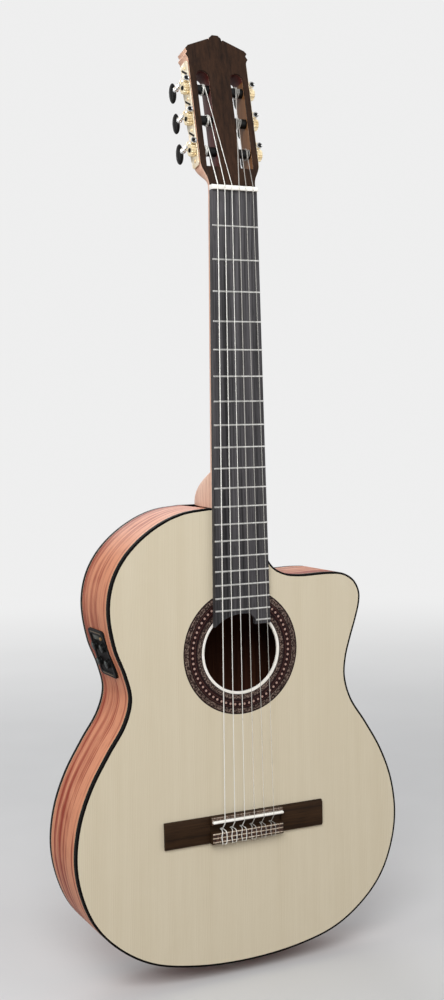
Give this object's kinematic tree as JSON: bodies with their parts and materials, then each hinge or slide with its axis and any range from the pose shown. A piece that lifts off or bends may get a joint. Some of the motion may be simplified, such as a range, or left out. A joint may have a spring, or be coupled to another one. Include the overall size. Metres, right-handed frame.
{
  "type": "acoustic electric classical guitar",
  "caption": "Nylon-string classical guitar with a cutaway body, slotted head, geared tuning machines, tie bridge and a control panel in the rim.",
  "frame": {"origin": "on the centre line at the front edge of the nut, level with the soundboard face, where a hanger yoke takes the guitar", "axes": "+Z runs from the body up the neck, +X to the treble side, +Y to the back"},
  "size_m": [0.378, 0.095, 0.9911],
  "materials": {
    "spruce": "gloss",
    "mahogany": "gloss",
    "rosewood": "satin",
    "ebony": "satin",
    "lining_wood": "plain",
    "binding_black": "gloss",
    "bone": "satin",
    "rosette_mosaic": "gloss",
    "string_wound": "wound",
    "string_nylon": "clear",
    "plate_gold": "engraved",
    "steel": "polished",
    "tuner": "gloss",
    "plastic_black": "matt",
    "display": "gloss",
    "chrome": "polished",
    "battery_case": "gloss",
    "pickup_film": "plain"
  },
  "bodies": {
    "guitar": {"head_core": "mahogany", "head_face": "rosewood", "machine_plate_bass": "plate_gold", "machine_plate_treble": "plate_gold", "soundboard": "spruce", "soundhole_ring": "bone", "rosette": "rosette_mosaic", "back_plate": "mahogany", "top_binding": "binding_black", "back_binding": "binding_black", "front_lining": "lining_wood", "back_lining": "lining_wood", "panel_bezel": "plastic_black", "control_panel": "plastic_black", "display_window": "display", "rim_bass": "mahogany", "rim_treble": "mahogany", "neck_block": "lining_wood", "tail_block": "lining_wood", "harmonic_bar": "spruce", "fan_bracing": "spruce", "back_bar_upper": "mahogany", "back_bar_middle": "mahogany", "back_bar_lower": "mahogany", "neck": "mahogany", "heel_cap": "rosewood", "fingerboard": "ebony", "nut": "bone", "string_6": "string_wound", "string_5": "string_wound", "string_4": "string_wound", "string_3": "string_nylon", "string_2": "string_nylon", "string_1": "string_nylon", "bridge": "rosewood", "saddle_pickup": "pickup_film", "saddle": "bone", "tie_block_trim": "bone", "battery": "battery_case", "battery_clip": "steel", "end_pin_jack": "chrome"},
    "tuner_6": {"tuner_6": "tuner"},
    "tuner_5": {"tuner_5": "tuner"},
    "tuner_4": {"tuner_4": "tuner"},
    "tuner_3": {"tuner_3": "tuner"},
    "tuner_2": {"tuner_2": "tuner"},
    "tuner_1": {"tuner_1": "tuner"},
    "roller_6": {"roller_6": "steel"},
    "roller_5": {"roller_5": "steel"},
    "roller_4": {"roller_4": "steel"},
    "roller_3": {"roller_3": "steel"},
    "roller_2": {"roller_2": "steel"},
    "roller_1": {"roller_1": "steel"},
    "knob_volume": {"knob_volume": "plastic_black"},
    "knob_bass": {"knob_bass": "plastic_black"},
    "knob_middle": {"knob_middle": "plastic_black"},
    "knob_treble": {"knob_treble": "plastic_black"},
    "push_button": {"push_button": "chrome"}
  },
  "joints": [
    {"name": "tuner_6_turn", "type": "hinge", "parent": "guitar", "child": "tuner_6", "pos_m": [-0.038, 0.00772, 0.05194], "axis": [0, 0.9763, -0.2164], "continuous": true},
    {"name": "roller_6_turn", "type": "hinge", "parent": "guitar", "child": "roller_6", "pos_m": [0, 0.01364, 0.04171], "axis": [1, 0, 0], "continuous": true},
    {"name": "tuner_5_turn", "type": "hinge", "parent": "guitar", "child": "tuner_5", "pos_m": [-0.038, 0.01507, 0.08513], "axis": [0, 0.9763, -0.2164], "continuous": true},
    {"name": "roller_5_turn", "type": "hinge", "parent": "guitar", "child": "roller_5", "pos_m": [0, 0.021, 0.0749], "axis": [1, 0, 0], "continuous": true},
    {"name": "tuner_4_turn", "type": "hinge", "parent": "guitar", "child": "tuner_4", "pos_m": [-0.038, 0.02243, 0.11832], "axis": [0, 0.9763, -0.2164], "continuous": true},
    {"name": "roller_4_turn", "type": "hinge", "parent": "guitar", "child": "roller_4", "pos_m": [0, 0.02836, 0.1081], "axis": [1, 0, 0], "continuous": true},
    {"name": "tuner_3_turn", "type": "hinge", "parent": "guitar", "child": "tuner_3", "pos_m": [0.038, 0.02243, 0.11832], "axis": [0, 0.9763, -0.2164], "continuous": true},
    {"name": "roller_3_turn", "type": "hinge", "parent": "guitar", "child": "roller_3", "pos_m": [0, 0.02836, 0.1081], "axis": [1, 0, 0], "continuous": true},
    {"name": "tuner_2_turn", "type": "hinge", "parent": "guitar", "child": "tuner_2", "pos_m": [0.038, 0.01507, 0.08513], "axis": [0, 0.9763, -0.2164], "continuous": true},
    {"name": "roller_2_turn", "type": "hinge", "parent": "guitar", "child": "roller_2", "pos_m": [0, 0.021, 0.0749], "axis": [1, 0, 0], "continuous": true},
    {"name": "tuner_1_turn", "type": "hinge", "parent": "guitar", "child": "tuner_1", "pos_m": [0.038, 0.00772, 0.05194], "axis": [0, 0.9763, -0.2164], "continuous": true},
    {"name": "roller_1_turn", "type": "hinge", "parent": "guitar", "child": "roller_1", "pos_m": [0, 0.01364, 0.04171], "axis": [1, 0, 0], "continuous": true},
    {"name": "knob_volume_turn", "type": "hinge", "parent": "guitar", "child": "knob_volume", "pos_m": [-0.1399, 0.03076, -0.46505], "axis": [-0.9546, 0, -0.2979], "range_deg": [-150, 150]},
    {"name": "knob_bass_turn", "type": "hinge", "parent": "guitar", "child": "knob_bass", "pos_m": [-0.1399, 0.0532, -0.46505], "axis": [-0.9546, 0, -0.2979], "range_deg": [-150, 150]},
    {"name": "knob_middle_turn", "type": "hinge", "parent": "guitar", "child": "knob_middle", "pos_m": [-0.13463, 0.03076, -0.48193], "axis": [-0.9546, 0, -0.2979], "range_deg": [-150, 150]},
    {"name": "knob_treble_turn", "type": "hinge", "parent": "guitar", "child": "knob_treble", "pos_m": [-0.13463, 0.0532, -0.48193], "axis": [-0.9546, 0, -0.2979], "range_deg": [-150, 150]},
    {"name": "push_button_press", "type": "slide", "parent": "guitar", "child": "push_button", "axis": [0.9546, 0, 0.2979], "range_m": [0, 0.0008], "stiffness_N_per_m": 600, "springref_m": -0.0004}
  ],
  "couplings": [
    {"joint": "roller_6_turn", "follows": "tuner_6_turn", "ratio": -0.071429},
    {"joint": "roller_5_turn", "follows": "tuner_5_turn", "ratio": -0.071429},
    {"joint": "roller_4_turn", "follows": "tuner_4_turn", "ratio": -0.071429},
    {"joint": "roller_3_turn", "follows": "tuner_3_turn", "ratio": 0.071429},
    {"joint": "roller_2_turn", "follows": "tuner_2_turn", "ratio": 0.071429},
    {"joint": "roller_1_turn", "follows": "tuner_1_turn", "ratio": 0.071429}
  ]
}
